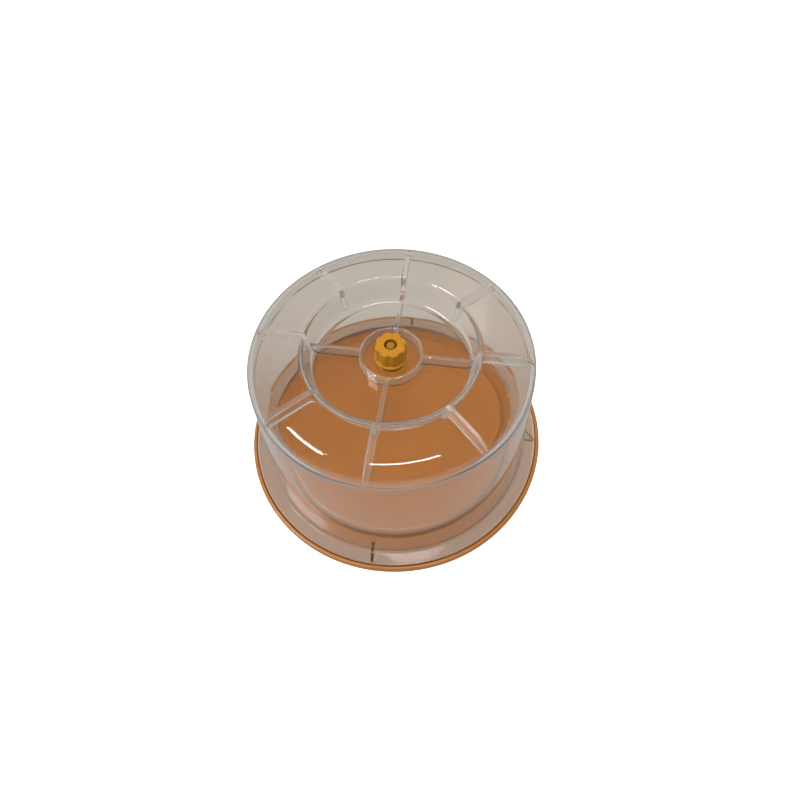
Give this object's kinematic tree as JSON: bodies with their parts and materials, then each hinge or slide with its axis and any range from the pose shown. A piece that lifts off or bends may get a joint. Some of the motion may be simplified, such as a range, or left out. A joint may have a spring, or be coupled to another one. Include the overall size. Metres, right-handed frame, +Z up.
{
  "type": "covered round drum",
  "caption": "Clear ribbed drum cover with a recessed crown, standing on a round rimmed tray, with a star nut on a central stud.",
  "frame": {"origin": "centre of the tray's flat underside", "axes": "+Z up along the drum's axis; the cover's four long ribs lie along +X, +Y, -X and -Y"},
  "size_m": [0.3192, 0.3192, 0.1552],
  "materials": {
    "copper_tray": "satin metallic",
    "clear_plastic": "polished, clear",
    "stud_brass": "satin",
    "clear_rubber": "matte",
    "mustard_plastic": "matte"
  },
  "bodies": {
    "tray": {"base_tray": "copper_tray"},
    "cover": {"drum_cover": "clear_plastic", "centre_stud": "stud_brass", "stud_seal": "clear_rubber"},
    "washer": {"nut_washer": "mustard_plastic"},
    "nut": {"star_nut": "mustard_plastic"}
  },
  "joints": [
    {"name": "cover_lift", "type": "slide", "parent": "tray", "child": "cover", "axis": [0, 0, 1], "range_m": [0, 0.06]},
    {"name": "nut_rise", "type": "slide", "parent": "cover", "child": "washer", "axis": [0, 0, 1], "range_m": [0, 0.0125]},
    {"name": "nut_turn", "type": "hinge", "parent": "washer", "child": "nut", "pos_m": [0, 0, 0.14], "axis": [0, 0, 1], "range_deg": [0, 3600]}
  ],
  "couplings": [
    {"joint": "nut_rise", "follows": "nut_turn", "m_per_rad": 0.00019894}
  ]
}
